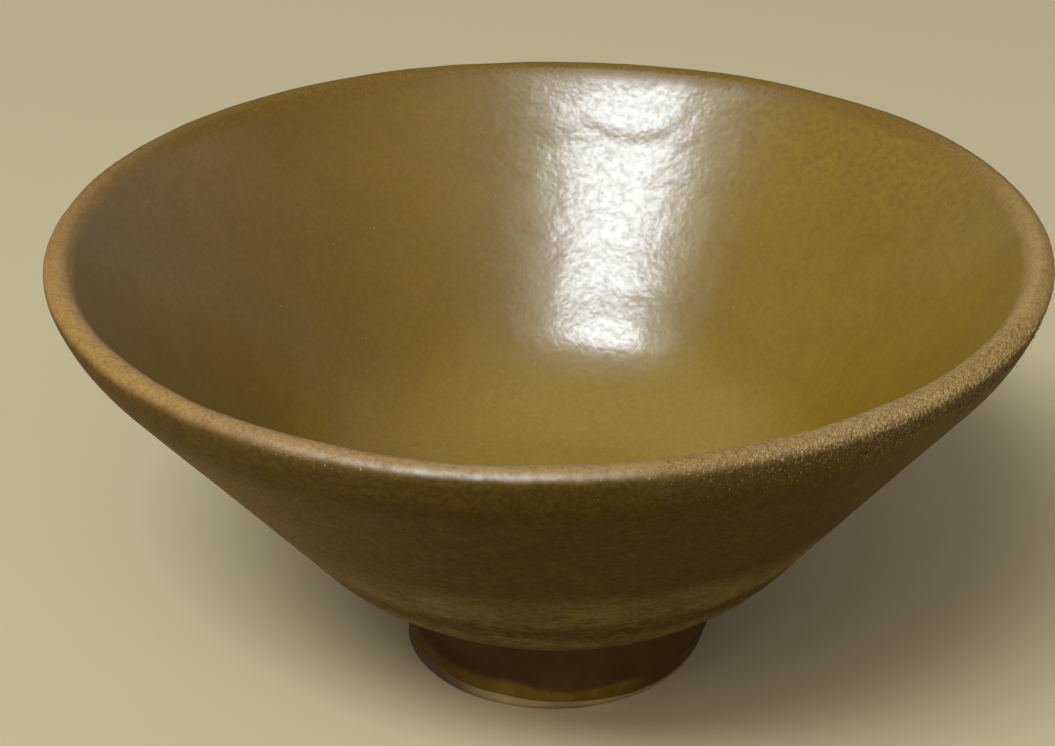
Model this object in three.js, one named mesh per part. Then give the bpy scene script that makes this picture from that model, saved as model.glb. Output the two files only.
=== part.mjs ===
// A wide conical stoneware tea bowl: a thrown body, a foot ring luted under it, and three coats of glaze.
// Millimetres, +Z up, with the origin on the surface that the bowl stands on, below the middle of its rim.
import * as THREE from "three";

// Overall sizes of the finished bowl, glaze included
const rimRadius = 73;
const bowlHeight = 68.7;
const lipThickness = 4;
const lipCrown = 1.9;

// Wall: an underside that rises to the hip, a straight cone, and a steeper band outside below the lip
const hipRadius = 35.3;
const hipHeight = 16.9;
const hipRounding = 8;
const rimBandWidth = 1.1;
const rimBandHeight = 4.3;
const rimBandRounding = 5;
const hipThickness = 5.6;
const baseOffset = 1.4;

// Floor of the well inside
const floorThickness = 6.2;
const wellRounding = 14.5;

// Foot ring
const footHeight = 13;
const footRadius = 23.3;
const footWall = 5;
const footWaist = 0.8;
const footBandHeight = 4.2;
const restChamfer = 0.5;
const footBandOffset = 0.6;
const footNeckOffset = 2.9;
const footSideOffset = -1.4;

// Joint between the foot ring and the body
const slipThickness = 0.5;
const seatGap = 0.3;
const seatMargin = 1.5;

// Glaze coats
const glazeThickness = 0.5;
const bareClayHeight = 1.7;

// Hand-made waves of the rim, two to a turn
const rimHeightWave = 0.49;
const rimWaveTurn = THREE.MathUtils.degToRad(22);

// Fineness of the surfaces
const sidesAround = 60;
const curveSteps = 6;
const lipSteps = 4;

// Heights and radii that follow from the sizes above
const clayInset = glazeThickness + seatGap;
const seatHeight = footHeight + slipThickness + 2 * seatGap;
const lipBase = bowlHeight - lipCrown;
const bodyOffsetAt = (height) => baseOffset * Math.max(0, 1 - height / lipBase);
const neckRadius = footRadius - footWaist;
const neckShift = Math.hypot(footNeckOffset - bodyOffsetAt(seatHeight), footSideOffset);
const seatRadius = neckRadius + neckShift + seatMargin;
const floorHeight = seatHeight + floorThickness + clayInset;
const lipMiddle = rimRadius - lipThickness / 2;

const point = (radius, height) => new THREE.Vector2(radius, height);
const towards = (from, to, distance) => from.clone().add(to.clone().sub(from).setLength(distance));
const across = (from, to, distance) => {
  const direction = to.clone().sub(from).normalize();
  return point(from.x - direction.y * distance, from.y + direction.x * distance);
};

// Corners of the finished outside, before they are rounded
const seatEdge = point(seatRadius, seatHeight - clayInset);
const hipCorner = point(hipRadius, hipHeight);
const bandCorner = point(rimRadius - rimBandWidth, lipBase - rimBandHeight);
const lipOutside = point(rimRadius, lipBase);

// Corners of the finished inside, a cone that the wall's thickness at the hip and at the lip sets
const coneInsideLow = across(hipCorner, bandCorner, hipThickness);
const lipInside = point(rimRadius - lipThickness, lipBase);
const coneSlope = lipInside.clone().sub(coneInsideLow);
const wellCorner = point(
  coneInsideLow.x + (floorHeight - coneInsideLow.y) * coneSlope.x / coneSlope.y, floorHeight);
const wellMiddle = point(0, floorHeight);

// A corner rounded by a curve that starts and ends at the given distance from it
const rounded = (before, corner, after, distance) => new THREE.QuadraticBezierCurve(
  towards(corner, before, Math.min(distance, corner.distanceTo(before))), corner,
  towards(corner, after, Math.min(distance, corner.distanceTo(after))));

// Points of a curve, each moved sideways by an inset, to the left of the way that the curve runs
const insetPoints = (curve, inset, steps) => Array.from({ length: steps + 1 }, (_, step) => {
  const share = step / steps;
  const tangent = curve.getTangent(share);
  const place = curve.getPoint(share);
  return point(Math.max(0, place.x - tangent.y * inset), place.y + tangent.x * inset);
});

// Outside of the wall from the seat's edge up to the lip, at an inset into the wall
const outsideWall = (inset) => [
  ...insetPoints(rounded(seatEdge, hipCorner, bandCorner, hipRounding), inset, curveSteps),
  ...insetPoints(rounded(hipCorner, bandCorner, lipOutside, rimBandRounding), inset, curveSteps),
];

// Inside of the wall from the cone's foot down to the middle of the floor, at an inset into the wall
const insideWall = (inset) => [
  ...insetPoints(rounded(lipInside, wellCorner, wellMiddle, wellRounding), inset, curveSteps),
  point(0, floorHeight - inset),
];

// Arch of the lip between two angles, at an inset, from 0 at the outside to PI at the inside
const lipArch = (inset, start, end) => Array.from({ length: lipSteps + 1 }, (_, step) => {
  const angle = start + (end - start) * step / lipSteps;
  const halfWidth = lipThickness / 2 - inset;
  return point(lipMiddle + halfWidth * Math.cos(angle), lipBase + (lipCrown - inset) * Math.sin(angle));
});

// Angle at which the lip runs into the cone inside
const innerAngle = Math.PI - Math.atan2(coneSlope.x * lipCrown, coneSlope.y * lipThickness / 2);

// Angles on either side of the crown where the two glaze coats stop, a seat gap apart
const crown = Math.PI / 2;
const seamAngle = seatGap / lipThickness;

const bodyOutline = [
  point(0, seatHeight),
  point(seatRadius - clayInset, seatHeight),
  ...outsideWall(clayInset),
  ...lipArch(clayInset, 0, innerAngle),
  ...insideWall(clayInset),
];

const insideGlazeOutline = [
  ...insideWall(glazeThickness).reverse(),
  ...lipArch(glazeThickness, innerAngle, crown + seamAngle),
  ...lipArch(0, crown + seamAngle, innerAngle),
  ...insideWall(0),
];

const outsideGlazeOutline = [
  ...outsideWall(0),
  ...lipArch(0, 0, crown - seamAngle),
  ...lipArch(glazeThickness, crown - seamAngle, 0),
  ...outsideWall(glazeThickness).reverse(),
];

// Outside of the foot ring, at an inset: a low band at the bottom, and the narrower neck above it
const footOutside = (inset, bottom, top) => {
  const bandTop = point(footRadius - inset, footBandHeight);
  const waist = point(neckRadius - inset, footBandHeight + footWaist);
  const neck = point(neckRadius - inset, footBandHeight * 2);
  const shoulder = new THREE.QuadraticBezierCurve(bandTop, waist, neck);
  const bandBottom = point(footRadius - inset, bottom);
  return [bandBottom, ...shoulder.getPoints(curveSteps), point(neckRadius - inset, top)];
};

const footRingOutline = [
  point(footRadius - footWall, 0),
  point(footRadius - clayInset - restChamfer, 0),
  ...footOutside(clayInset, restChamfer, footHeight),
  point(footRadius - footWall - clayInset, footHeight),
  point(footRadius - footWall - clayInset, restChamfer),
];

const footGlazeOutline = [
  point(footRadius - glazeThickness, bareClayHeight),
  ...footOutside(0, bareClayHeight + glazeThickness, footHeight),
  ...footOutside(glazeThickness, bareClayHeight + glazeThickness, footHeight).slice(1).reverse(),
];

const slipOutline = [
  point(footRadius - footWall, footHeight + seatGap),
  point(neckRadius - clayInset, footHeight + seatGap),
  point(neckRadius - clayInset, footHeight + seatGap + slipThickness),
  point(footRadius - footWall, footHeight + seatGap + slipThickness),
];

// The rim's waves, which fade out towards the floor, and the wall's lean, which sets the base off the middle
function shapeTheBody(geometry) {
  const place = geometry.getAttribute("position");
  for (let index = 0; index < place.count; index += 1) {
    const x = place.getX(index);
    const y = place.getY(index);
    const z = place.getZ(index);
    const share = Math.max(0, (z - floorHeight) / (bowlHeight - floorHeight)) ** 2;
    const wave = share * Math.cos(2 * Math.atan2(y, x) + rimWaveTurn);
    place.setXYZ(index, x + bodyOffsetAt(z), y, z + wave * rimHeightWave);
  }
}

// The foot stands beside the bowl's middle, its neck further out than the band below
function shiftTheFoot(geometry) {
  const place = geometry.getAttribute("position");
  for (let index = 0; index < place.count; index += 1) {
    const share = THREE.MathUtils.smoothstep(place.getZ(index), 0, footBandHeight * 2);
    const sideways = THREE.MathUtils.lerp(footBandOffset, footNeckOffset, share);
    place.setX(index, place.getX(index) + sideways);
    place.setY(index, place.getY(index) + footSideOffset);
  }
}

// A turned piece: its outline runs up the outside and down the inside
function turned(name, outline, shapeByHand, material) {
  const closed = outline[0].x === 0 ? outline : [...outline, outline[0].clone()];
  const geometry = new THREE.LatheGeometry(closed, sidesAround);
  geometry.rotateX(Math.PI / 2);
  shapeByHand(geometry);
  const mesh = new THREE.Mesh(geometry, material);
  mesh.name = name;
  return mesh;
}

const finish = (color, roughness) => new THREE.MeshStandardMaterial({ color, roughness, metalness: 0 });
const stoneware = finish(0x7d654a, 0.85);
const footClay = finish(0x76604a, 0.9);
const slip = finish(0x5c4632, 0.9);
const ochreGlaze = finish(0x7a622a, 0.3);
const brownGlaze = finish(0x4a3820, 0.45);
const footGlaze = finish(0x3a2a1c, 0.5);

const teaBowl = new THREE.Group();
teaBowl.add(
  turned("thrown_body", bodyOutline, shapeTheBody, stoneware),
  turned("inside_glaze", insideGlazeOutline, shapeTheBody, ochreGlaze),
  turned("outside_glaze", outsideGlazeOutline, shapeTheBody, brownGlaze),
  turned("foot_ring", footRingOutline, shiftTheFoot, footClay),
  turned("foot_glaze", footGlazeOutline, shiftTheFoot, footGlaze),
  turned("luting_slip", slipOutline, shiftTheFoot, slip),
);

export default teaBowl;
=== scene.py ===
import math
import random
from collections import namedtuple

import bmesh
import bpy
from mathutils import Matrix, Vector, noise


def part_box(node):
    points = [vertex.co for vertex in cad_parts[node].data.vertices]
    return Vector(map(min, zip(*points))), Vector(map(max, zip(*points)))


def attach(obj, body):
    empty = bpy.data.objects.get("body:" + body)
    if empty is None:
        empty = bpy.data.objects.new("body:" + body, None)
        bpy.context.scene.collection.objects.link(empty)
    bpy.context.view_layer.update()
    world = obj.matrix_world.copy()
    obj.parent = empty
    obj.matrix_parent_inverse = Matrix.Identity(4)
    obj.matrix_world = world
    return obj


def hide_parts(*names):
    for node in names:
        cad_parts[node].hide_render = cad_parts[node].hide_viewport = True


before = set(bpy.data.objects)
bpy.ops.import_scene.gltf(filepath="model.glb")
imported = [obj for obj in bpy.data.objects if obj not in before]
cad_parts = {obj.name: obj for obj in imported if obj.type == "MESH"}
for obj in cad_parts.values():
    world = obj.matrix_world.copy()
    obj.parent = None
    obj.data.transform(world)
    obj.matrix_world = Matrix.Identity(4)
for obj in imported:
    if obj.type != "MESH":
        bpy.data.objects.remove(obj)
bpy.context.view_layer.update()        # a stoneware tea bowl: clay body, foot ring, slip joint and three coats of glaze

MM = 0.001

# Sizes that the parts in model.glb give
glaze_low, glaze_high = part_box("outside_glaze")
foot_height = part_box("foot_ring")[1].z
seat_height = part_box("thrown_body")[0].z
rim_radius = (glaze_high.x - glaze_low.x + glaze_high.y - glaze_low.y) / 4
rim_height_wave = 0.49 * MM
rim_wave_turn = math.radians(22)
bowl_height = glaze_high.z - rim_height_wave

# Wall, lip and floor
lip_thickness = 4 * MM
lip_crown = 1.9 * MM
lip_flatness = 1.25
lip_reach = 5 * MM
hip_corner = Vector((35.3 * MM, 16.9 * MM))
hip_rounding = 8 * MM
rim_band_width = 1.1 * MM
rim_band_height = 4.3 * MM
rim_band_rounding = 5 * MM
hip_thickness = 5.6 * MM
floor_thickness = 6.2 * MM
well_rounding = 14.5 * MM
base_offset = 1.4 * MM
glaze_thickness = 0.5 * MM
clay_inset = 0.8 * MM
lip_base = bowl_height - lip_crown
lip_middle = rim_radius - lip_thickness / 2
floor_height = seat_height + floor_thickness + clay_inset

# The way that the outside of the wall faces, and the wall's length for each millimetre of its height
wall_out, wall_down = 0.78, 0.62
wall_run = 1.29

# The shallow dent inside, on the far side below the lip, with its fine arcs
dent_turn = math.radians(77)
dent_height = 66.6 * MM
dent_radius = 10.2 * MM
dent_edge = 2.2 * MM
dent_depth = 0.085 * MM
dent_bearing_radius = 62 * MM
arc_centre_radius = 69.5 * MM
arc_spacing = 1.7 * MM

# Throwing rings inside and turning grooves outside: how far apart and deep, and where they fade
ring_spacing = 6.5 * MM
ring_depth = 0.008 * MM
ring_start = 10 * MM
groove_spacing = 1.25 * MM
groove_depth = 0.02 * MM
groove_start = 3 * MM
groove_reach = 16 * MM

# Foot ring
foot_radius = 23.3 * MM
foot_wall = 5 * MM
foot_waist = 0.8 * MM
foot_band_height = 4.2 * MM
rest_chamfer = 0.5 * MM
foot_band_offset = 0.6 * MM
foot_neck_offset = 2.9 * MM
foot_side_offset = -1.4 * MM
neck_radius = foot_radius - foot_waist
seat_margin = 1.5 * MM
seat_offset = base_offset * (1 - seat_height / lip_base)
neck_shift = (foot_neck_offset - seat_offset, foot_side_offset)
seat_radius = neck_radius + math.hypot(*neck_shift) + seat_margin

# Coat of glaze on the foot, its fillet under the body, and the waves of its lower edge
foot_coat_thickness = 0.3 * MM
foot_fillet = 1.2 * MM
bare_clay_height = 1.7 * MM
coat_overlap = 0.4 * MM
edge_reach = 2 * MM
edge_lean = 0.7 * MM
edge_drop = 0.08 * MM
edge_lift = 0.2 * MM
edge_lift_turn = math.radians(192)

# Fineness of the meshes
inside_sides = 512
outside_sides = 400
foot_sides = 256
hidden_sides = 96
sectors_doubled = 4
hidden_step = 4 * MM
cone_step = 1.5 * MM
rim_step = 0.7 * MM
rim_step_reach = 20 * MM
outside_step = 0.8 * MM
hip_step = 0.45 * MM
hip_step_reach = 14 * MM
foot_step = 0.5 * MM
fillet_step = 0.25 * MM
bead_step = 0.1 * MM
lip_turn = math.radians(4)
least_step = 0.02 * MM
merge_distance = 0.004 * MM
crease_angle = math.radians(50)

# Sand on the lip: patches of grains made a handful at a time, an angle away from the crown
SandPatch = namedtuple("SandPatch", "bearing spread depth depth_spread least greatest handfuls")
grains_at_once = 50
sand_arch_length = 2.6 * MM
sand_free_angle = 0.35


def towards(start, end, distance):
    """The point at a distance from start on the way to end."""
    return start + (end - start).normalized() * distance


def across(start, end, distance):
    """The point beside start, to the left of the way to end."""
    way = (end - start).normalized()
    return start + Vector((-way.y, way.x)) * distance


def straight(start, end, step):
    """Points along a straight run, without its end."""
    count = max(1, round((end - start).length / step))
    return [start.lerp(end, index / count) for index in range(count)]


def filled(points, step):
    """An outline whose long runs are cut into steps."""
    cut = []
    for start, end in zip(points, points[1:]):
        cut += straight(start, end, step)
    return cut + [points[-1]]


def bent(first, corner, last, step):
    """Points of a curve that leaves one point and comes to another, both towards a corner."""
    count = max(3, round(((first - corner).length + (last - corner).length) / step))
    shares = [index / count for index in range(count + 1)]
    return [first.lerp(corner, share).lerp(corner.lerp(last, share), share) for share in shares]


def rounded(before, corner, after, distance, step):
    """Points round a corner, on a curve that starts and ends at a distance from it."""
    return bent(towards(corner, before, min(distance, (corner - before).length)), corner,
                towards(corner, after, min(distance, (corner - after).length)), step)


def inset_outline(points, inset):
    """An open outline moved sideways, to the left of the way that it runs."""
    moved = []
    for index, place in enumerate(points):
        way = points[min(index + 1, len(points) - 1)] - points[max(index - 1, 0)]
        way.normalize()
        moved.append(Vector((max(0, place.x - way.y * inset), place.y + way.x * inset)))
    return moved


def without_repeats(points):
    """An outline with points that lie on each other dropped."""
    kept = [points[0]]
    for place in points[1:]:
        if (place - kept[-1]).length > least_step:
            kept.append(place)
    return kept


# Corners of the bowl's outline, before they are rounded
seat_edge = Vector((seat_radius, seat_height - clay_inset))
band_corner = Vector((rim_radius - rim_band_width, lip_base - rim_band_height))
lip_inside = Vector((rim_radius - lip_thickness, lip_base))
cone_inside_low = across(hip_corner, band_corner, hip_thickness)
cone_slope = lip_inside - cone_inside_low
well_corner = Vector((
    cone_inside_low.x + (floor_height - cone_inside_low.y) * cone_slope.x / cone_slope.y, floor_height))
well_middle = Vector((0, floor_height))

# Angles at which the lip's arch runs into the cone inside and into the band outside
inner_angle = math.pi - math.atan2(cone_slope.x * lip_crown, cone_slope.y * lip_thickness / 2)
outer_angle = -math.atan2(rim_band_width * lip_crown, rim_band_height * lip_thickness / 2)
crown = math.pi / 2


def lip_point(inset, angle):
    """A point of the lip's arch, at an angle from 0 at the outside to pi at the inside, flatter outside."""
    half_width = lip_thickness / 2 - inset
    side, rise = math.cos(angle), math.sin(angle)
    if 0 < angle < crown:
        side, rise = side ** lip_flatness, rise ** lip_flatness
    return Vector((lip_middle + half_width * side, lip_base + (lip_crown - inset) * rise))


def lip_arch(inset, start, end):
    """The lip between two angles."""
    count = max(4, round(abs(end - start) / lip_turn))
    return [lip_point(inset, start + (end - start) * index / count) for index in range(count + 1)]


def outside_wall(inset, step=outside_step, fine_step=hip_step):
    """The outside of the wall from the seat's edge up to the lip."""
    hip = rounded(seat_edge, hip_corner, band_corner, hip_rounding, fine_step)
    grooved = towards(hip[-1], band_corner, hip_step_reach)
    band = rounded(hip_corner, band_corner, lip_point(0, outer_angle), rim_band_rounding, fine_step)
    run = filled([seat_edge] + hip + [grooved], fine_step) + filled([grooved] + band, step)
    return inset_outline(run, inset)


def inside_wall(inset, step=cone_step, upper_step=rim_step):
    """The inside of the wall from the lip down to the middle of the floor."""
    wall = rounded(lip_inside, well_corner, well_middle, well_rounding, step)
    start = lip_point(0, inner_angle)
    upper = towards(start, wall[0], rim_step_reach)
    run = filled([start, upper], upper_step)[:-1] + filled([upper] + wall + [well_middle], step)
    moved = inset_outline(run, inset)
    moved[-1] = Vector((0, floor_height - inset))
    return moved


def foot_outside(inset, bottom, top):
    """The foot's outside: a low band, and the narrower neck above it."""
    band_top = Vector((foot_radius - inset, foot_band_height))
    waist = Vector((neck_radius - inset, foot_band_height + foot_waist))
    neck = Vector((neck_radius - inset, foot_band_height * 2))
    return filled([Vector((foot_radius - inset, bottom))] + bent(band_top, waist, neck, foot_step)
                  + [Vector((neck_radius - inset, top))], foot_step)


def held(value):
    """A value held between 0 and 1."""
    return min(1, max(0, value))


def eased(value):
    """A value held between 0 and 1, with soft ends."""
    share = held(value)
    return share * share * (3 - 2 * share)


def soft_noise(place, size, seed):
    """Smooth noise with features of a size, about from -0.5 to 0.5."""
    return noise.noise(Vector((place.x / size + seed, place.y / size - seed, place.z / size)))


def swell(place, depth, size, seed):
    """A soft unevenness of a depth, with features of a size."""
    return depth * soft_noise(place, size, seed)


def shape_the_body(place):
    """The rim's two waves to a turn, and the lean that sets the base off the middle."""
    share = max(0, (place.z - floor_height) / (bowl_height - floor_height)) ** 2
    wave = share * math.cos(2 * math.atan2(place.y, place.x) + rim_wave_turn)
    offset = base_offset * max(0, 1 - place.z / lip_base)
    return Vector((place.x + offset, place.y, place.z + wave * rim_height_wave))


def shift_the_foot(place):
    """The foot stands beside the bowl's middle, its neck further out than the band below."""
    share = eased(place.z / (foot_band_height * 2))
    offset = foot_band_offset + (foot_neck_offset - foot_band_offset) * share
    return Vector((place.x + offset, place.y + foot_side_offset, place.z))


def pushed(place, depth):
    """A place on the wall, moved out and down, square to the wall, by a depth."""
    radius = math.hypot(place.x, place.y)
    if radius < MM:
        return place
    spread = 1 + wall_out * depth / radius
    return Vector((place.x * spread, place.y * spread, place.z - wall_down * depth))


def below_the_lip(place):
    """From 0 at the lip to 1 a little way down the wall, so that the coats still meet at the lip."""
    return held((lip_base - MM - place.z) / lip_reach)


def inside_marks(place):
    """Faint throwing rings, a soft unevenness, and the shallow dent."""
    height = place.z - floor_height
    if height < -clay_inset:
        return place
    angle = math.atan2(place.y, place.x)
    depth = swell(place, 0.16 * MM, 24 * MM, seed=0) + swell(place, 0.035 * MM, 6 * MM, seed=3)
    turns = height / ring_spacing + angle / (2 * math.pi)
    depth += ring_depth * math.sin(2 * math.pi * turns) * min(1, height / ring_start)
    away = math.hypot((angle - dent_turn) * dent_bearing_radius, (place.z - dent_height) * wall_run)
    depth += dent_depth * eased((dent_radius - away) / dent_edge + 0.5)
    return pushed(place, depth * below_the_lip(place))


def outside_marks(place):
    """Fine turning grooves above the hip that fade out up the wall, and a soft unevenness."""
    angle = math.atan2(place.y, place.x)
    depth = swell(place, 0.2 * MM, 22 * MM, seed=5)
    fade = max(0, 1 - (place.z - hip_corner.y) / groove_reach) * held((place.z - seat_height) / groove_start)
    turns = place.z / groove_spacing + angle / (2 * math.pi) + swell(place, 1.5, 30 * MM, seed=7)
    depth += groove_depth * fade * math.sin(2 * math.pi * turns) * (1 + soft_noise(place, 9 * MM, seed=9))
    return pushed(place, -depth * below_the_lip(place))


def lip_marks(place):
    """The lip's own unevenness, a little coarser on its sandy right side."""
    near = max(0, 1 - abs(place.z - bowl_height) / lip_reach)
    if near == 0:
        return place
    sandy = 0.5 + 0.5 * max(0, place.x) / rim_radius
    rise = (swell(place, 0.22 * MM, 18 * MM, seed=11) + swell(place, 0.07 * MM, 5 * MM, seed=13)
            + swell(place, 0.06 * MM * sandy, 1.8 * MM, seed=17))
    middle = Vector((place.x, place.y, 0)).normalized() * lip_middle + Vector((0, 0, lip_base - lip_crown))
    return place + (place - middle).normalized() * rise * near


def glaze_edge(place):
    """The wavy lower edge of the foot's glaze, which hangs lowest on the right and highest on the left."""
    angle = math.atan2(place.y - foot_side_offset, place.x - foot_band_offset)
    left = max(0, math.cos(angle - edge_lift_turn)) ** 3
    wave = swell(place, 0.3 * MM, 6 * MM, seed=2) - edge_lean * math.cos(angle) - edge_drop + edge_lift * left
    share = max(0, 1 - (place.z - bare_clay_height) / edge_reach)
    return Vector((place.x, place.y, place.z + share * wave))


def foot_marks(place):
    """The foot's hand-cut unevenness, which leaves its flat bottom alone."""
    depth = swell(place, 0.22 * MM, 11 * MM, seed=4) * min(1, place.z / MM)
    spread = 1 + depth / math.hypot(place.x, place.y)
    return Vector((place.x * spread, place.y * spread, place.z))


def hug_the_neck(place):
    """The glaze under the body drawn in to the foot's neck, which stands off the body's middle."""
    radius = math.hypot(place.x, place.y)
    if place.z > seat_edge.y + clay_inset or radius > seat_radius:
        return place
    share = (seat_radius - radius) / (seat_radius - neck_radius)
    return place + Vector((*neck_shift, 0)) * share


def finished_piece(name, shape, crease=crease_angle):
    """An object made of a shape, smooth but for its sharp edges."""
    bmesh.ops.recalc_face_normals(shape, faces=shape.faces)
    for face in shape.faces:
        face.smooth = True
    for edge in shape.edges:
        edge.smooth = edge.calc_face_angle(0) < crease
    mesh = bpy.data.meshes.new(name)
    shape.to_mesh(mesh)
    shape.free()
    piece = bpy.data.objects.new(name, mesh)
    bpy.context.scene.collection.objects.link(piece)
    return piece


def turned_piece(name, outline, moves, sides):
    """A piece spun from its outline, which runs up the outside and down the inside, then moved by hand.

    One sector is spun, and then doubled until it goes all the way round.
    """
    shape = bmesh.new()
    points = without_repeats(outline)
    corners = [shape.verts.new((place.x, 0, place.y)) for place in points]
    edges = [shape.edges.new(pair) for pair in zip(corners, corners[1:])]
    if points[0].x > 0:
        edges.append(shape.edges.new((corners[-1], corners[0])))
    sector = 2 * math.pi / 2 ** sectors_doubled
    bmesh.ops.spin(shape, geom=corners + edges, cent=(0, 0, 0), axis=(0, 0, 1), dvec=(0, 0, 0),
                   angle=sector, steps=sides // 2 ** sectors_doubled, use_merge=False, use_duplicate=False)
    for doubling in range(sectors_doubled):
        copied = bmesh.ops.duplicate(shape, geom=shape.verts[:] + shape.edges[:] + shape.faces[:])["geom"]
        bmesh.ops.rotate(shape, cent=(0, 0, 0), matrix=Matrix.Rotation(sector * 2 ** doubling, 3, "Z"),
                         verts=[part for part in copied if isinstance(part, bmesh.types.BMVert)])
    bmesh.ops.remove_doubles(shape, verts=shape.verts, dist=merge_distance)
    for corner in shape.verts:
        for move in moves:
            corner.co = move(corner.co)
    return finished_piece(name, shape)


def sand_place(angle, down):
    """A place on the lip's outer half, or on the glaze below it, and the way that the surface faces there."""
    if down < sand_arch_length:
        highest = crown - sand_free_angle
        tilt = highest - (highest - outer_angle) * down / sand_arch_length
        spot = lip_point(0, tilt)
    else:
        tilt = outer_angle
        spot = towards(lip_point(0, outer_angle), band_corner, down - sand_arch_length)
    place = Vector((spot.x * math.cos(angle), spot.x * math.sin(angle), spot.y))
    faced = Vector((math.cos(angle) * math.cos(tilt), math.sin(angle) * math.cos(tilt), math.sin(tilt)))
    return shape_the_body(lip_marks(place)), faced


def handful_of(chance, patch):
    """A mesh of one handful of a patch's grains, each of them low, and longer one way than the other."""
    handful = bmesh.new()
    for _ in range(grains_at_once):
        angle = math.radians(patch.bearing + patch.spread * chance.uniform(-1, 1) * chance.uniform(0.3, 1))
        place, faced = sand_place(angle, abs(chance.gauss(patch.depth, patch.depth_spread)))
        size = patch.least + (patch.greatest - patch.least) * chance.random() ** 2
        turn = faced.to_track_quat("Z", "Y").to_matrix().to_4x4()
        flat = Matrix.Diagonal((0.9, chance.uniform(0.9, 1.6), chance.uniform(0.2, 0.4), 1))
        bmesh.ops.create_icosphere(handful, subdivisions=1, radius=size,
                                   matrix=Matrix.Translation(place) @ turn @ flat)
    mesh = bpy.data.meshes.new("handful")
    handful.to_mesh(mesh)
    handful.free()
    return mesh


def scattered_grains(name, chance, patches):
    """Grains set in the glaze.

    A patch has a bearing in degrees, a depth below the lip's crown, their spreads, and its grains' radii.
    """
    shape = bmesh.new()
    for patch in patches:
        for _ in range(patch.handfuls):
            handful = handful_of(chance, patch)
            shape.from_mesh(handful)
            bpy.data.meshes.remove(handful)
    return finished_piece(name, shape, math.pi)


def linear(code):
    """A colour written as six hex digits, in the values that shaders take."""
    parts = [int(code[index:index + 2], 16) / 255 for index in (0, 2, 4)]
    bright = [part / 12.92 if part <= 0.04045 else ((part + 0.055) / 1.055) ** 2.4 for part in parts]
    return (*bright, 1)


def put(tree, node, values):
    """A node's sockets, each given a value or a link."""
    for socket, value in values.items():
        if isinstance(value, bpy.types.NodeSocket):
            tree.links.new(value, node.inputs[socket])
        else:
            node.inputs[socket].default_value = value


def add(tree, kind, values=None, **settings):
    """A shader node with its settings and its sockets' values."""
    made = tree.nodes.new("ShaderNode" + kind)
    for key, value in settings.items():
        setattr(made, key, value)
    put(tree, made, values or {})
    return made


def placed(tree, group, values):
    """A group placed in a tree with its own values."""
    made = tree.nodes.new("ShaderNodeGroup")
    made.node_tree = group
    put(tree, made, values)
    return made.outputs


def maths(tree, operation, first, second=0.0, third=0.0):
    """One sum on two or three values."""
    return add(tree, "Math", {0: first, 1: second, 2: third}, operation=operation).outputs[0]


def product(tree, first, *others):
    """Values multiplied together."""
    for other in others:
        first = maths(tree, "MULTIPLY", first, other)
    return first


def between(tree, share, first, second):
    """Two values mixed by a share."""
    return add(tree, "Mix", {0: share, 2: first, 3: second}).outputs[0]


def mixed(tree, share, first, second, blend="MIX"):
    """Two colours mixed by a share."""
    return add(tree, "Mix", {0: share, 6: first, 7: second}, data_type="RGBA", blend_type=blend).outputs[2]


def tinted(tree, colour, share, code):
    """A colour turned by a share to the one that six hex digits give."""
    return mixed(tree, share, colour, linear(code))


def shaded(tree, colour, factor):
    """A colour made darker or lighter by a factor."""
    return mixed(tree, 1.0, colour, factor, "MULTIPLY")


def mapped(tree, value, low, high, start=0.0, end=1.0):
    """A value's range moved onto another, smoothly."""
    ends = {"Value": value, "From Min": low, "From Max": high, "To Min": start, "To Max": end}
    return add(tree, "MapRange", ends, interpolation_type="SMOOTHSTEP").outputs[0]


def parts_of(tree, place):
    """The three coordinates of a place."""
    return add(tree, "SeparateXYZ", {0: place}).outputs[:]


def noise_of(tree, place, size, detail=2.0, roughness=0.5):
    """Noise whose features have about the given size."""
    scale = 1 / size if isinstance(size, float) else maths(tree, "DIVIDE", 1.0, size)
    values = {"Vector": place, "Scale": scale, "Detail": detail, "Roughness": roughness}
    return add(tree, "TexNoise", values).outputs[0]


def new_group(name, inputs, outputs):
    """A shader node group with named inputs and outputs, and its two ends."""
    group = bpy.data.node_groups.new(name, "ShaderNodeTree")
    group.interface.new_socket("Vector", in_out="INPUT", socket_type="NodeSocketVector")
    for label, value in inputs.items():
        socket = group.interface.new_socket(label, in_out="INPUT", socket_type="NodeSocketFloat")
        socket.default_value = value
    for label in outputs:
        group.interface.new_socket(label, in_out="OUTPUT", socket_type="NodeSocketFloat")
    return group, group.nodes.new("NodeGroupInput").outputs, group.nodes.new("NodeGroupOutput").inputs


def mottle_group():
    """Clouds, smaller patches and fine grain."""
    sizes = {"Cloud Size": 30 * MM, "Patch Size": 6 * MM, "Grain Size": 0.9 * MM}
    group, given, out = new_group("Mottle", sizes, ("Clouds", "Patches", "Grain"))
    for size, detail, label in (("Cloud Size", 3.0, "Clouds"), ("Patch Size", 3.0, "Patches"),
                                ("Grain Size", 2.0, "Grain")):
        value = noise_of(group, given["Vector"], given[size], detail, 0.55)
        group.links.new(mapped(group, value, 0.3, 0.7), out[label])
    return group


def skin_group():
    """The dimpled skin of a glaze as a height, with a slower ripple under it."""
    values = {"Dimple Size": 1.4 * MM, "Ripple Size": 3.5 * MM, "Dimple": 0.5, "Ripple": 1.0}
    group, given, out = new_group("Skin", values, ("Height",))
    dimples = add(group, "TexVoronoi", {"Vector": given["Vector"], "Smoothness": 1.0,
                                        "Scale": maths(group, "DIVIDE", 1.0, given["Dimple Size"])},
                  feature="SMOOTH_F1").outputs[0]
    ripple = noise_of(group, given["Vector"], given["Ripple Size"])
    dimples = product(group, dimples, given["Dimple"])
    group.links.new(maths(group, "MULTIPLY_ADD", ripple, given["Ripple"], dimples), out["Height"])
    return group


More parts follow.
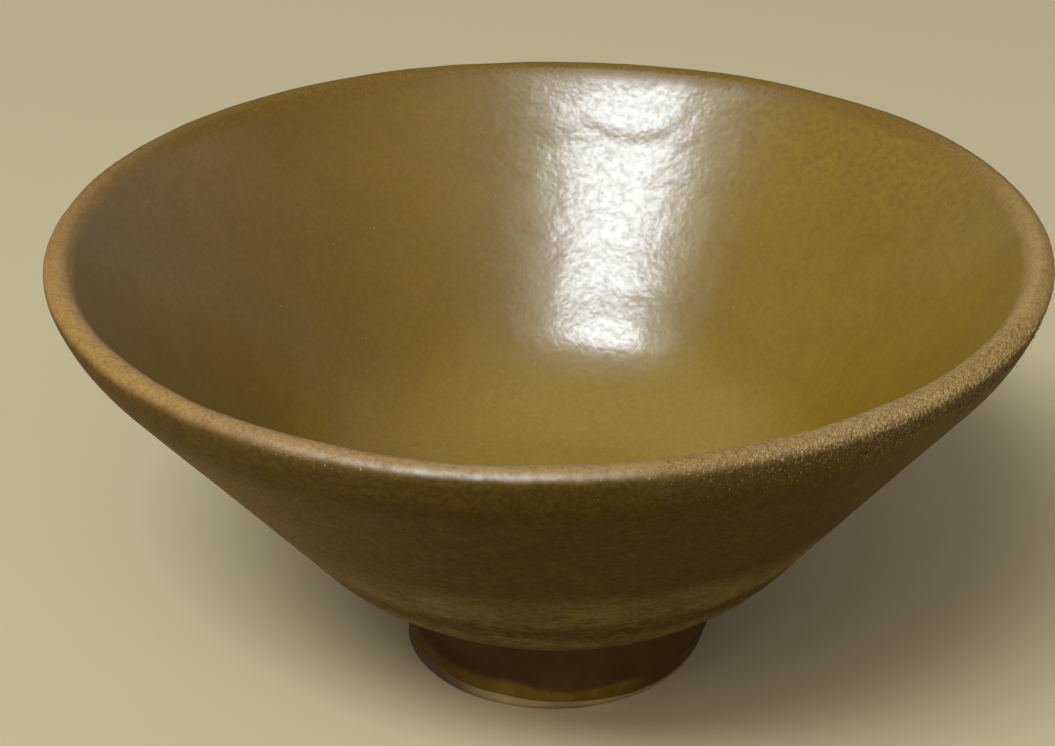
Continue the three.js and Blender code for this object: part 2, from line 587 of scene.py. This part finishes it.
def lip_group():
    """How near a point lies to the lip's crown, and masks of the front, the sandy sides and their grains."""
    sandy_right, sandy_left = (0.59, -0.81, 0), (-0.44, -0.9, 0)
    group, given, out = new_group("Lip", {"Inside Reach": 1.3 * MM, "Outside Reach": 1.5 * MM},
                                  ("Near", "Front", "Sandy", "Grains", "Band"))
    x, y, z = parts_of(group, given["Vector"])
    flat = add(group, "CombineXYZ", {0: x, 1: y}).outputs[0]
    radius = add(group, "VectorMath", {0: flat}, operation="LENGTH").outputs["Value"]
    way = add(group, "VectorMath", {0: flat}, operation="NORMALIZE").outputs[0]
    front = product(group, parts_of(group, way)[1], -1.0)
    group.links.new(mapped(group, front, 0.6, 0.95), out["Front"])

    inward = maths(group, "GREATER_THAN", lip_middle, radius)
    wobble = mapped(group, noise_of(group, given["Vector"], 4 * MM, 3.0), 0.3, 0.7, -0.09 * MM, 0.09 * MM)
    drop = maths(group, "ADD", maths(group, "SUBTRACT", bowl_height, z), wobble)
    narrow_front = mapped(group, front, 0.2, 0.8, 1.0, 0.55)
    wide_back = mapped(group, front, -0.9, -0.3, 2.0, 1.0)
    inner_reach = product(group, given["Inside Reach"], narrow_front, wide_back)
    reach = between(group, inward, given["Outside Reach"], inner_reach)
    near = mapped(group, maths(group, "DIVIDE", drop, reach), 0.4, 1.35, 1.0, 0.0)
    group.links.new(near, out["Near"])

    right = add(group, "VectorMath", {0: way, 1: sandy_right}, operation="DOT_PRODUCT").outputs["Value"]
    left = add(group, "VectorMath", {0: way, 1: sandy_left}, operation="DOT_PRODUCT").outputs["Value"]
    sandy = maths(group, "MAXIMUM", mapped(group, right, 0.87, 0.93),
                  mapped(group, left, 0.97, 0.99, 0.0, 0.5))
    group.links.new(sandy, out["Sandy"])
    grains = noise_of(group, given["Vector"], 0.8 * MM, 3.0, 0.65)
    group.links.new(mapped(group, grains, 0.36, 0.64), out["Grains"])
    band = mapped(group, drop, 2.6 * MM, 5.5 * MM, 1.0, 0.0)
    outward = maths(group, "SUBTRACT", 1.0, inward)
    group.links.new(product(group, band, outward, sandy), out["Band"])
    return group


# Where the glaze turns from brown on the left to gold on the right
brown_end, gold_start = -70 * MM, 30 * MM

mottle = mottle_group()
skin = skin_group()
lip = lip_group()


def new_material(name):
    """An empty material, its tree, its shader and the object's own coordinates."""
    material = bpy.data.materials.new(name)
    material.use_nodes = True
    tree = material.node_tree
    shader = tree.nodes["Principled BSDF"]
    return material, tree, shader, add(tree, "TexCoord").outputs["Object"]


def give_bump(tree, shader, height, distance):
    """A height fed to the shader as a bump."""
    bump = add(tree, "Bump", {"Height": height, "Distance": distance, "Strength": 1.0})
    tree.links.new(bump.outputs[0], shader.inputs["Normal"])


def lip_colour(tree, place, marks, colour):
    """The colour of the wall, turned to the lip's tan where the glaze runs thin over it."""
    x, y, _ = parts_of(tree, place)
    tan = mixed(tree, mapped(tree, x, brown_end, gold_start), linear("b68c52"), linear("ac8642"))
    tan = tinted(tree, tan, mapped(tree, x, 10 * MM, 45 * MM), "b8965a")
    tan = tinted(tree, tan, mapped(tree, y, -20 * MM, 50 * MM), "7e5e1c")
    spots = mapped(tree, noise_of(tree, place, 1.1 * MM, 3.0, 0.6), 0.45, 0.7, 0.0, 0.3)
    tan = tinted(tree, tan, spots, "80582a")
    pits = mapped(tree, noise_of(tree, place, 0.45 * MM, 2.0, 0.6), 0.3, 0.62, 0.78, 1.12)
    tan = shaded(tree, tan, pits)
    colour = tinted(tree, colour, product(tree, marks["Band"], 0.55), "66502e")
    return mixed(tree, product(tree, marks["Near"], 0.85), colour, tan)


def wall_bump(tree, shader, place, marks, skin_values, distance, more=0.0):
    """The glaze's skin, with the lip's sand in it."""
    sand_height = 0.2 * MM
    height = maths(tree, "ADD", placed(tree, skin, {"Vector": place, **skin_values})["Height"], more)
    sandy = maths(tree, "MAXIMUM", marks["Band"], product(tree, marks["Near"], marks["Sandy"]))
    rough_lip = product(tree, marks["Near"], 0.05)
    sand = product(tree, marks["Grains"], maths(tree, "MAXIMUM", sandy, rough_lip))
    give_bump(tree, shader, maths(tree, "MULTIPLY_ADD", sand, sand_height / distance, height), distance)


def give_gloss(tree, shader, place, marks, smooth, rough, haze):
    """Rougher spots in the gloss, and the near lip's satin sheen, which is weaker where sand breaks it."""
    lip_roughness = 0.45
    spots = mapped(tree, noise_of(tree, place, 1.3 * MM, 3.0, 0.6), 0.42, 0.7, smooth, rough)
    less_on_sand = mapped(tree, marks["Sandy"], 0.0, 1.0, 1.0, 0.4)
    broken = mapped(tree, noise_of(tree, place, 1.6 * MM, 3.0, 0.6), 0.35, 0.6, 0.55, 1.0)
    sheen = product(tree, marks["Front"], less_on_sand, broken)
    put(tree, shader, {
        "Roughness": between(tree, marks["Near"], spots, lip_roughness),
        "Coat Weight": between(tree, marks["Near"], haze, sheen),
        "Coat Roughness": 0.42,
        "Coat IOR": 2.2,
    })


def wipe_marks(tree, place):
    """Fine arcs round the shallow dent."""
    centre = (arc_centre_radius * math.cos(dent_turn), arc_centre_radius * math.sin(dent_turn), dent_height)
    away = add(tree, "VectorMath", {0: place, 1: centre}, operation="DISTANCE").outputs["Value"]
    waves = maths(tree, "SINE", product(tree, away, 2 * math.pi / arc_spacing))
    return product(tree, waves, mapped(tree, away, dent_radius, dent_radius + MM, 1.0, 0.0))


def ochre_glaze():
    """Glossy olive to ochre ash glaze, browner to the left and granular on the right below the lip, with a painted
    sheen that pales its far left.
    """
    material, tree, shader, place = new_material("ochre_glaze")
    clouds = placed(tree, mottle, {"Vector": place})
    x, y, z = parts_of(tree, place)

    gold = mixed(tree, clouds["Clouds"], linear("927212"), linear("8a6a0c"))
    brown = mixed(tree, clouds["Clouds"], linear("7e5e24"), linear("745814"))
    colour = mixed(tree, mapped(tree, x, brown_end, gold_start), brown, gold)
    # Painted sheen: the far left of the inside is turned paler and greyer, standing in for a glancing sheen of light.
    painted_sheen_left = mapped(tree, x, -66 * MM, -42 * MM, 0.45, 0.0)
    colour = tinted(tree, colour, painted_sheen_left, "9a7850")
    bright_right = mapped(tree, x, 45 * MM, 64 * MM, 0.0, 0.4)
    colour = tinted(tree, colour, bright_right, "a48434")
    colour = tinted(tree, colour, product(tree, clouds["Patches"], 0.22), "785e22")
    well = product(tree, mapped(tree, z, 20 * MM, 36 * MM, 0.6, 0.0),
                   mapped(tree, x, -30 * MM, 0.0, 0.2, 1.0))
    colour = tinted(tree, colour, well, "a88c3e")
    colour = shaded(tree, colour, mapped(tree, clouds["Grain"], 0.0, 1.0, 0.94, 1.05))

    cells = add(tree, "TexVoronoi", {"Vector": place, "Scale": 1 / (4 * MM)}).outputs[0]
    pale_specks = mapped(tree, cells, 0.03, 0.045, 0.6, 0.0)
    colour = tinted(tree, colour, pale_specks, "b8a070")
    high_right = product(tree, mapped(tree, z, 46 * MM, 66 * MM), mapped(tree, x, 8 * MM, 30 * MM),
                         mapped(tree, y, 0.0, 30 * MM))
    granules = mapped(tree, noise_of(tree, place, 1.2 * MM, 2.0, 0.6), 0.45, 0.62, 0.0, 0.28)
    colour = tinted(tree, colour, product(tree, high_right, granules), "5f4818")

    marks = placed(tree, lip, {"Vector": place})
    colour = lip_colour(tree, place, marks, colour)
    put(tree, shader, {"Base Color": colour, "Specular IOR Level": 0.45})
    give_gloss(tree, shader, place, marks, smooth=0.17, rough=0.26, haze=0.22)
    skin_values = {"Dimple Size": 0.7 * MM, "Ripple Size": 4 * MM, "Dimple": 0.5, "Ripple": 3.2}
    arcs = product(tree, wipe_marks(tree, place), 0.08)
    wall_bump(tree, shader, place, marks, skin_values, 0.03 * MM, arcs)
    return material


def turning_streaks(tree, place):
    """Noise drawn out level, like the marks of a turning tool."""
    streaks_per_metre = (420, 420, 1100)
    drawn = add(tree, "Mapping", {"Vector": place, "Scale": streaks_per_metre}).outputs[0]
    return add(tree, "TexNoise", {"Vector": drawn, "Scale": 1.0, "Detail": 4.0, "Roughness": 0.65}).outputs[0]


def brown_glaze():
    """Satin dark brown ash glaze with turning streaks, lighter in two bands above the hip, with painted light on its
    upper left side.
    """
    material, tree, shader, place = new_material("brown_glaze")
    sizes = {"Cloud Size": 20 * MM, "Patch Size": 3 * MM, "Grain Size": 0.7 * MM}
    clouds = placed(tree, mottle, {"Vector": place, **sizes})
    x, _, z = parts_of(tree, place)

    colour = mixed(tree, clouds["Clouds"], linear("543c10"), linear("4c3c10"))
    colour = tinted(tree, colour, product(tree, clouds["Patches"], 0.5), "422a0a")
    blotches = mapped(tree, noise_of(tree, place, 8 * MM, 3.0, 0.6), 0.4, 0.62, 0.0, 0.4)
    colour = tinted(tree, colour, blotches, "42360e")

    patchy = mapped(tree, noise_of(tree, place, 10 * MM), 0.35, 0.65, 0.45, 1.0)
    upper_band = product(tree, mapped(tree, z, 25 * MM, 28.5 * MM),
                         mapped(tree, z, 29.5 * MM, 39 * MM, 0.55, 0.0))
    lower_band = product(tree, mapped(tree, z, 18 * MM, 20.5 * MM, 0.35, 1.0),
                         mapped(tree, z, 21.5 * MM, 24.5 * MM, 0.4, 0.0))
    bands = product(tree, maths(tree, "ADD", upper_band, lower_band), patchy)
    colour = tinted(tree, colour, bands, "866e42")
    below_lip = mapped(tree, z, 60 * MM, 64 * MM, 0.0, 0.3)
    colour = tinted(tree, colour, below_lip, "6a5020")
    # Painted light: the upper left of the outside is turned lighter, where the lamps and the floor's bounce light it.
    left = product(tree, mapped(tree, x, -62 * MM, -10 * MM, 0.9, 0.0),
                   mapped(tree, z, 52 * MM, 65 * MM, 1.1, 0.35))
    colour = tinted(tree, colour, left, "7a5e30")
    right = mapped(tree, x, 30 * MM, 62 * MM, 0.0, 0.45)
    colour = tinted(tree, colour, right, "74562a")

    streaks = turning_streaks(tree, place)
    low = product(tree, mapped(tree, z, 27 * MM, 40 * MM, 1.0, 0.12),
                  mapped(tree, noise_of(tree, place, 5 * MM, 3.0), 0.3, 0.7, 0.3, 1.0))
    flecks = product(tree, mapped(tree, streaks, 0.5, 0.68, 0.0, 0.55), low)
    colour = tinted(tree, colour, flecks, "806a40")
    hollows = product(tree, mapped(tree, streaks, 0.34, 0.48, 0.7, 0.0), low)
    colour = tinted(tree, colour, hollows, "38280a")
    colour = shaded(tree, colour, mapped(tree, clouds["Grain"], 0.0, 1.0, 0.82, 1.16))
    lower_edge = mapped(tree, z, 14.2 * MM, 15.2 * MM, 0.2, 0.0)
    colour = tinted(tree, colour, lower_edge, "8a6c2c")

    marks = placed(tree, lip, {"Vector": place})
    colour = lip_colour(tree, place, marks, colour)
    put(tree, shader, {"Base Color": colour, "Specular IOR Level": 0.035})
    give_gloss(tree, shader, place, marks, smooth=0.5, rough=0.6, haze=0.0)
    wall_bump(tree, shader, place, marks, {"Dimple Size": 0.9 * MM, "Dimple": 0.4, "Ripple": 0.8}, 0.1 * MM)
    return material


def glazed_sand(name, high, low, roughness, level):
    """Sand grains with the glaze drawn thin over them, tan on the lip and darker below it."""
    material, tree, shader, place = new_material(name)
    drop = maths(tree, "SUBTRACT", bowl_height, parts_of(tree, place)[2])
    each = noise_of(tree, place, 0.6 * MM)
    tan = mixed(tree, each, linear(high[0]), linear(high[1]))
    dark = mixed(tree, each, linear(low[0]), linear(low[1]))
    colour = mixed(tree, mapped(tree, drop, 0.8 * MM, 2.2 * MM), tan, dark)
    put(tree, shader, {"Base Color": colour, "Roughness": roughness, "Specular IOR Level": level})
    give_bump(tree, shader, noise_of(tree, place, 0.3 * MM), 0.01 * MM)
    return material


def bare_clay(name, light, dark, roughness):
    """Fired clay with grog in it, darkened towards its left by painted shade, where the bowl's hip shades the foot."""
    material, tree, shader, place = new_material(name)
    sizes = {"Cloud Size": 12 * MM, "Patch Size": 2 * MM, "Grain Size": 0.5 * MM}
    clouds = placed(tree, mottle, {"Vector": place, **sizes})
    colour = mixed(tree, clouds["Clouds"], linear(light), linear(dark))
    colour = tinted(tree, colour, product(tree, clouds["Patches"], 0.4), dark)
    # Painted shade: the clay is darkened towards the left, where the hip's shadow falls on the foot.
    painted_shade_left = mapped(tree, parts_of(tree, place)[0], -17 * MM, -6 * MM, 0.95, 0.0)
    colour = tinted(tree, colour, painted_shade_left, "5c4a36")
    put(tree, shader, {"Base Color": colour, "Roughness": roughness, "Specular IOR Level": 0.25})
    give_bump(tree, shader, clouds["Grain"], 0.06 * MM)
    return material


def dark_foot_glaze():
    """Thin dark glaze on the foot, which pools olive at its lower edge; painted shade holds the olive back on the left,
    where the hip shades the foot.
    """
    material, tree, shader, place = new_material("foot_glaze")
    clouds = placed(tree, mottle, {"Vector": place, "Cloud Size": 14 * MM, "Patch Size": 3 * MM})
    x, _, z = parts_of(tree, place)
    colour = mixed(tree, clouds["Clouds"], linear("503616"), linear("5c401a"))
    colour = tinted(tree, colour, product(tree, clouds["Patches"], 0.3), "3c260c")
    wavy_height = maths(tree, "ADD", z, product(tree, clouds["Clouds"], 1.2 * MM))
    # The olive pool fades out towards the right; towards the left it is held back as painted shade, where the hip's
    # shadow falls on the foot.
    olive_pool_and_painted_shade = product(tree, mapped(tree, wavy_height, 3.9 * MM, 5 * MM, 1.0, 0.0),
                   mapped(tree, x, 6 * MM, 19 * MM, 1.0, 0.1), mapped(tree, x, -16 * MM, -4 * MM, 0.25, 1.0))
    olive = mixed(tree, clouds["Patches"], linear("866824"), linear("6c5218"))
    colour = mixed(tree, olive_pool_and_painted_shade, colour, olive)
    put(tree, shader, {"Base Color": colour, "Roughness": 0.45, "Specular IOR Level": 0.12})
    height = placed(tree, skin, {"Vector": place, "Dimple Size": MM, "Dimple": 0.3, "Ripple": 0.8})["Height"]
    give_bump(tree, shader, height, 0.06 * MM)
    return material


def make_inside_glaze():
    """The coat of glaze on the inside, up to the lip's crown."""
    hidden = inside_wall(glaze_thickness, hidden_step, hidden_step)
    outline = (hidden[::-1] + lip_arch(glaze_thickness, inner_angle, crown)
               + lip_arch(0, crown, inner_angle) + inside_wall(0))
    return turned_piece("inside_glaze_coat", outline, [inside_marks, lip_marks, shape_the_body], inside_sides)


def make_outside_glaze():
    """The coat of glaze on the outside, from the foot's neck up to the lip's crown."""
    at_neck = neck_radius - coat_overlap
    wall = outside_wall(0)
    hidden = outside_wall(glaze_thickness, hidden_step, hidden_step)
    outline = (filled([Vector((at_neck, seat_edge.y)), wall[0]], MM) + wall
               + lip_arch(0, outer_angle, crown) + lip_arch(glaze_thickness, crown, outer_angle)
               + hidden[::-1] + [Vector((at_neck, seat_edge.y + glaze_thickness))])
    moves = [outside_marks, lip_marks, hug_the_neck, shape_the_body]
    return turned_piece("outside_glaze_coat", outline, moves, outside_sides)


def make_clay_body():
    """The thrown clay, which the two coats of glaze cover."""
    outline = ([Vector((0, seat_height)), Vector((seat_radius - clay_inset, seat_height))]
               + outside_wall(clay_inset, hidden_step, hidden_step)
               + lip_arch(clay_inset, outer_angle, inner_angle)
               + inside_wall(clay_inset, hidden_step, hidden_step))
    return turned_piece("clay_body", outline, [shape_the_body], hidden_sides)


def make_foot_ring():
    """The ring of clay under the body, with its flat bottom edge."""
    inner, outer = foot_radius - foot_wall, foot_radius - foot_coat_thickness
    bottom = [Vector((inner, 0)), Vector((outer - rest_chamfer, 0))]
    inside = [Vector((inner - clay_inset, foot_height)), Vector((inner - clay_inset, rest_chamfer))]
    outline = (filled(bottom, foot_step) + foot_outside(foot_coat_thickness, rest_chamfer, foot_height)
               + filled(inside, foot_step))
    return turned_piece("foot_ring_clay", outline, [foot_marks, shift_the_foot], foot_sides)


def make_foot_coat():
    """The foot's glaze, from the bead at its lower edge to the fillet under the body."""
    coat_bottom = bare_clay_height + foot_coat_thickness
    bead = bent(Vector((foot_radius - foot_coat_thickness, bare_clay_height)),
                Vector((foot_radius, bare_clay_height)), Vector((foot_radius, coat_bottom)), bead_step)
    fillet = bent(Vector((neck_radius, foot_height - foot_fillet)), Vector((neck_radius, seat_edge.y)),
                  Vector((neck_radius + foot_fillet, seat_edge.y)), fillet_step)
    outline = (bead + foot_outside(0, coat_bottom, foot_height - foot_fillet) + fillet
               + [Vector((neck_radius - foot_coat_thickness, seat_edge.y))]
               + foot_outside(foot_coat_thickness, coat_bottom, foot_height)[::-1])
    return turned_piece("foot_glaze_coat", outline, [glaze_edge, foot_marks, shift_the_foot], foot_sides)


inside_glaze = make_inside_glaze()
outside_glaze = make_outside_glaze()
clay_body = make_clay_body()
foot_ring = make_foot_ring()
foot_coat = make_foot_coat()

chance = random.Random(5)
sand = scattered_grains("lip_sand", chance, [
    SandPatch(bearing=-46, spread=30, depth=2.2 * MM, depth_spread=1.3 * MM,
              least=0.14 * MM, greatest=0.3 * MM, handfuls=18),
    SandPatch(bearing=-50, spread=36, depth=3 * MM, depth_spread=1.6 * MM,
              least=0.07 * MM, greatest=0.16 * MM, handfuls=20),
    SandPatch(bearing=-20, spread=60, depth=2.4 * MM, depth_spread=1.4 * MM,
              least=0.08 * MM, greatest=0.2 * MM, handfuls=2),
])
sparkles = scattered_grains("lip_sparkles", chance, [
    SandPatch(bearing=-56, spread=30, depth=1.05 * MM, depth_spread=0.45 * MM,
              least=0.06 * MM, greatest=0.2 * MM, handfuls=10),
    SandPatch(bearing=-114, spread=10, depth=0.9 * MM, depth_spread=0.5 * MM,
              least=0.06 * MM, greatest=0.18 * MM, handfuls=2),
])

stoneware = bare_clay("stoneware", "6d5a42", "5c4832", 0.85)
foot_clay = bare_clay("foot_clay", "c0a67c", "a2865e", 0.9)
slip = bare_clay("slip", "5c4632", "4c3826", 0.9)
dull_sand = glazed_sand("glazed_sand", ("a6884e", "be9e62"), ("604a22", "785e3c"), 0.4, 0.3)
clear_sand = glazed_sand("clear_sand", ("b49668", "ccae7c"), ("8c7042", "a08250"), 0.35, 0.6)
finishes = [
    (inside_glaze, "inside_glaze", ochre_glaze(), "ochre_glaze"),
    (outside_glaze, "outside_glaze", brown_glaze(), "brown_glaze"),
    (clay_body, "thrown_body", stoneware, "stoneware"),
    (foot_ring, "foot_ring", foot_clay, "foot_clay"),
    (foot_coat, "foot_glaze", dark_foot_glaze(), "foot_glaze"),
    (sand, None, dull_sand, "brown_glaze"),
    (sparkles, None, clear_sand, "ochre_glaze"),
]
for piece, node, material, slot in finishes:
    piece.data.materials.append(material)
    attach(piece, "root")
    if node:
        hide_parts(node)

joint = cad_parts["luting_slip"]
joint.data.materials.clear()
joint.data.materials.append(slip)


def make_camera():
    """The camera of the photograph: above the rim on the near side, looking down into the bowl."""
    photo_width = 1055
    focal_pixels = 2450
    behind = 4.5036 * rim_radius
    above = 1.9885 * rim_radius
    turn, tilt, roll = -0.00965, 0.4756, -0.00928
    data = bpy.data.cameras.new("camera")
    data.sensor_width = 36
    data.lens = focal_pixels / photo_width * data.sensor_width
    data.clip_start, data.clip_end = 0.01, 10
    camera = bpy.data.objects.new("camera", data)
    camera.location = (0, -behind, bowl_height + above)
    ahead = Vector((math.sin(turn) * math.cos(tilt), math.cos(turn) * math.cos(tilt), -math.sin(tilt)))
    aim = ahead.to_track_quat("-Z", "Y").to_matrix()
    camera.rotation_euler = (aim @ Matrix.Rotation(roll, 3, "Z")).to_euler()
    bpy.context.scene.collection.objects.link(camera)
    bpy.context.scene.camera = camera


def make_floor():
    """A plain pale floor."""
    shape = bmesh.new()
    bmesh.ops.create_grid(shape, x_segments=1, y_segments=1, size=3)
    floor = finished_piece("floor", shape)
    material, tree, shader, _ = new_material("floor")
    put(tree, shader, {"Base Color": linear("dccaa0"), "Roughness": 0.9, "Specular IOR Level": 0.2})
    floor.data.materials.append(material)


def area_light(name, bearing, rise, distance, size, radiance, colour, oval=False, roll=0):
    """A soft lamp that faces the bowl, at a bearing to the left of the view and a rise, in degrees."""
    bearing, rise = math.radians(bearing), math.radians(rise)
    way = Vector((-math.sin(bearing) * math.cos(rise), -math.cos(bearing) * math.cos(rise), math.sin(rise)))
    data = bpy.data.lights.new(name, "AREA")
    data.shape = "ELLIPSE" if oval else "RECTANGLE"
    width, height = size
    data.size, data.size_y = width, height
    area = width * height * (math.pi / 4 if oval else 1)
    data.energy = radiance * math.pi * area
    data.color = colour
    lamp = bpy.data.objects.new(name, data)
    lamp.location = Vector((0, 0, bowl_height)) + way * distance
    aim = (-way).to_track_quat("-Z", "Y").to_matrix()
    lamp.rotation_euler = (aim @ Matrix.Rotation(math.radians(roll), 3, "Z")).to_euler()
    bpy.context.scene.collection.objects.link(lamp)


def make_lights():
    """A bright window with its glow round it, a soft room light, a low fill and a faint even sky."""
    area_light("window", bearing=28.5, rise=55, distance=2, size=(1.04, 0.33), radiance=26,
               colour=(0.76, 0.9, 1), oval=True, roll=11)
    glow = [((1.4, 0.5), 1.5), ((1.9, 0.64), 1.3), ((2.4, 0.78), 0.8)]
    for number, (size, radiance) in enumerate(glow):
        area_light("glow_%d" % number, bearing=27, rise=54.5, distance=2.02 + 0.02 * number, size=size,
                   radiance=radiance, colour=(1, 0.96, 0.93), oval=True, roll=8)
    area_light("room", bearing=3, rise=43, distance=2, size=(2.2, 0.4), radiance=1.6, colour=(1, 0.97, 0.95))
    area_light("fill", bearing=30, rise=14, distance=1.6, size=(1.8, 0.5), radiance=0.35,
               colour=(1, 0.9, 0.7))
    world = bpy.data.worlds.new("room")
    world.use_nodes = True
    background = world.node_tree.nodes["Background"]
    background.inputs["Color"].default_value = (1, 1, 1, 1)
    background.inputs["Strength"].default_value = 0.2
    bpy.context.scene.world = world


make_camera()
make_floor()
make_lights()
bpy.context.scene.view_settings.view_transform = "Standard"
